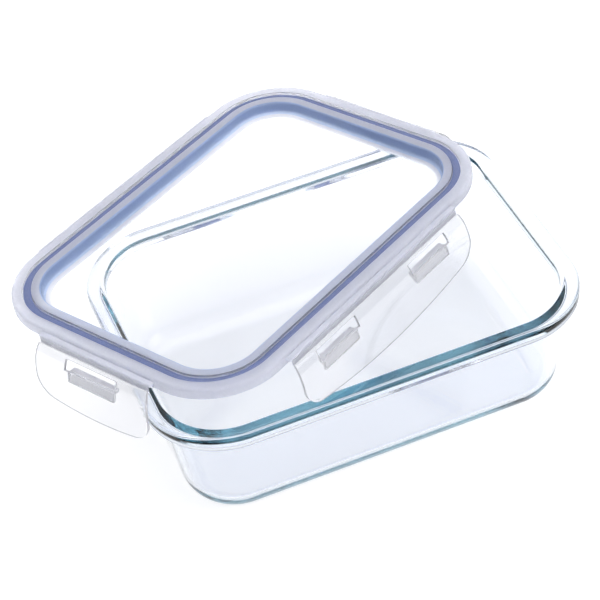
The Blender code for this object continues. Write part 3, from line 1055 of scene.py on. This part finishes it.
    def build(self, place: LidPlace) -> bpy.types.Object:
        """Model the latch where it hangs and dress it.

        Args:
            place: Where the lid and its hinges lie.

        Returns:
            The object.
        """
        mesh = self._sheet()
        faces = self._thicken(mesh)
        self._raise_bars(mesh, faces)
        round_edges(mesh, self.edge_round, 40.0)
        self._paint_edges_and_bars(mesh)
        swing = Matrix.Rotation(-place.open_angle(self.side), 4, "X")
        mesh.transform(place.hinge_matrix(self.side) @ swing)
        name = self.side.value
        piece = Piece(f"{name}_latch_plate", Slot.LATCH, f"latch_{name}")
        material = LATCH_PLASTIC.material(f"{name}_latch_polypropylene")
        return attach(piece.make(mesh, material, sharp=40.0), f"{name}_latch")


@dataclass
class HingeWeb:
    """The thin web that bends between the lid and a latch."""

    side: Side
    half: float
    reach: float = 1.1 * MM
    thickness: float = 0.5 * MM
    columns: int = 12
    rows: int = 10
    narrowing: float = 0.35
    bend_reach: float = 0.7 * MM
    milk: float = 0.6

    def build(self, place: LidPlace) -> bpy.types.Object:
        """Model the web, shaped bent between the two bodies as the latch hangs at rest.

        Args:
            place: Where the lid and its hinges lie.

        Returns:
            The object.
        """
        mesh = bmesh.new()
        bmesh.ops.create_grid(mesh, x_segments=self.columns, y_segments=self.rows, size=1.0)
        bmesh.ops.scale(mesh, vec=(self.half, self.reach, 1.0), verts=mesh.verts)
        upright = Matrix.Rotation(math.radians(90.0), 3, "X")
        bmesh.ops.rotate(mesh, matrix=upright, verts=mesh.verts)
        bmesh.ops.solidify(mesh, geom=mesh.faces[:], thickness=self.thickness)
        middle = sum(vert.co.y for vert in mesh.verts) / len(mesh.verts)
        bmesh.ops.translate(mesh, vec=(0, -middle, 0), verts=mesh.verts)
        angle = place.open_angle(self.side)
        for vert in mesh.verts:
            share = min(max(0.5 - vert.co.z / self.reach, 0.0), 1.0)
            vert.co.rotate(Matrix.Rotation(-angle * share, 3, "X"))
            waist = 1.0 - min(abs(vert.co.z) / self.reach, 1.0)
            vert.co.y *= 1.0 - self.narrowing * waist
        paint(mesh, lambda point: self.milk)
        hinge = place.hinge_matrix(self.side)
        mesh.transform(hinge)
        name = self.side.value
        piece = Piece(f"{name}_hinge_web", Slot.HINGE, f"hinge_film_{name}")
        material = HINGE_PLASTIC.material(f"{name}_web_polypropylene")
        item = piece.make(mesh, material, sharp=60.0)
        end = hinge @ (Matrix.Rotation(-angle, 3, "X") @ Vector((0.0, 0.0, -self.bend_reach)))
        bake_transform(item)
        return item


# ---------------------------------------------------------------- studio


@dataclass(frozen=True)
class SoftBox:
    """One square area lamp that looks at the container."""

    name: str
    place: Colour
    size: float
    power: float

    def build(self) -> None:
        """Add the lamp."""
        data = bpy.data.lights.new(self.name, "AREA")
        data.size = self.size
        data.energy = self.power
        lamp = bpy.data.objects.new(self.name, data)
        lamp.location = self.place
        lamp.rotation_euler = (-Vector(self.place)).to_track_quat("-Z", "Y").to_euler()
        bpy.context.scene.collection.objects.link(lamp)


@dataclass
class Studio:
    """Pale floor, soft light and the camera."""

    lens: float = 130.02
    sensor: float = 36.0
    eye: Colour = (-0.2144, -0.7000, 0.7161)
    right: Colour = (0.92434, -0.36585, -0.10839)
    up: Colour = (0.32306, 0.59917, 0.73254)
    floor_size: float = 12.0
    floor_drop: float = 0.4 * MM
    floor_colour: Colour = (0.60, 0.60, 0.60)
    floor_roughness: float = 0.8
    floor_glow: float = 0.70
    light_bounces: int = 48
    sky: tuple = (
        (0.0, (0.01, 0.03, 0.06)),
        (0.28, (0.02, 0.05, 0.10)),
        (0.42, (0.50, 0.54, 0.62)),
        (0.54, (1.0, 1.0, 1.0)),
    )
    screen: tuple = ((0.25, (0.72, 0.74, 0.80)), (0.60, (1.0, 1.0, 1.0)))
    lamps: tuple[SoftBox, ...] = (
        SoftBox("overhead_box", (0.2, 0.3, 1.6), 1.6, 9.0),
        SoftBox("side_box", (1.0, -0.9, 0.9), 0.8, 5.0),
    )

    def _floor(self) -> None:
        """Plain pale table that glows softly, as a light table does."""
        mesh = bmesh.new()
        bmesh.ops.create_grid(mesh, x_segments=1, y_segments=1, size=self.floor_size / 2)
        bmesh.ops.translate(mesh, vec=(0, 0, -self.floor_drop), verts=mesh.verts)
        data = bpy.data.meshes.new("table")
        mesh.to_mesh(data)
        mesh.free()
        tree = ShaderTree.of_material("pale_table")
        surface = tree.node(
            "ShaderNodeBsdfPrincipled",
            inputs={
                "Base Color": self.floor_colour,
                "Roughness": self.floor_roughness,
                "Specular IOR Level": 0.0,
                "Emission Color": (1.0, 1.0, 1.0),
                "Emission Strength": self.floor_glow,
            },
        )
        data.materials.append(tree.finish(surface))
        floor = bpy.data.objects.new("table", data)
        bpy.context.scene.collection.objects.link(floor)

    def _room(self) -> None:
        """White above and dark blue near the horizon, which draws the glass's edges."""
        world = bpy.data.worlds.new("studio")
        bpy.context.scene.world = world
        tree = ShaderTree(world)
        place = tree.node("ShaderNodeTexCoord", output="Generated")
        height = tree.node("ShaderNodeSeparateXYZ", inputs={0: place}, output="Z")
        across = tree.node("ShaderNodeSeparateXYZ", inputs={0: place}, output="X")
        sky = tree.node("ShaderNodeValToRGB", {"stops": self.sky}, {0: height})
        shade = tree.node("ShaderNodeValToRGB", {"stops": self.screen}, {0: across * 0.5 + 0.5})
        colour = tree.node(
            "ShaderNodeMix",
            {"data_type": "RGBA", "blend_type": "MULTIPLY"},
            {"Factor": 1.0, "A": sky, "B": shade},
            "Result",
        )
        tree.finish(tree.node("ShaderNodeBackground", inputs={"Color": colour}))

    def _camera(self) -> None:
        """Camera above the near left side."""
        data = bpy.data.cameras.new("camera")
        data.lens = self.lens
        data.sensor_width = self.sensor
        camera = bpy.data.objects.new("camera", data)
        right = Vector(self.right).normalized()
        back = right.cross(Vector(self.up)).normalized()
        turn = Matrix((right, back.cross(right), back)).transposed().to_4x4()
        camera.matrix_world = Matrix.Translation(Vector(self.eye)) @ turn
        bpy.context.scene.collection.objects.link(camera)
        bpy.context.scene.camera = camera

    def build(self) -> None:
        """Set up the studio."""
        self._floor()
        self._room()
        for lamp in self.lamps:
            lamp.build()
        self._camera()
        scene = bpy.context.scene
        scene.view_settings.view_transform = "Standard"
        scene.cycles.max_bounces = self.light_bounces
        scene.cycles.transmission_bounces = self.light_bounces
        scene.cycles.glossy_bounces = self.light_bounces


def main() -> None:
    """Build the container, piece by piece, and the studio."""
    logging.basicConfig(level=logging.INFO, format="%(name)s %(message)s")
    GlassTray().build()
    place = LidPlace()
    LidShell().build(place)
    SealRing().build(place)
    for side in Side:
        size = LONG_LATCH if side.is_long else SHORT_LATCH
        Latch(side, size).build(place)
        HingeWeb(side, size.half).build(place)
    Studio().build()


if __name__ == "__main__":
    main()
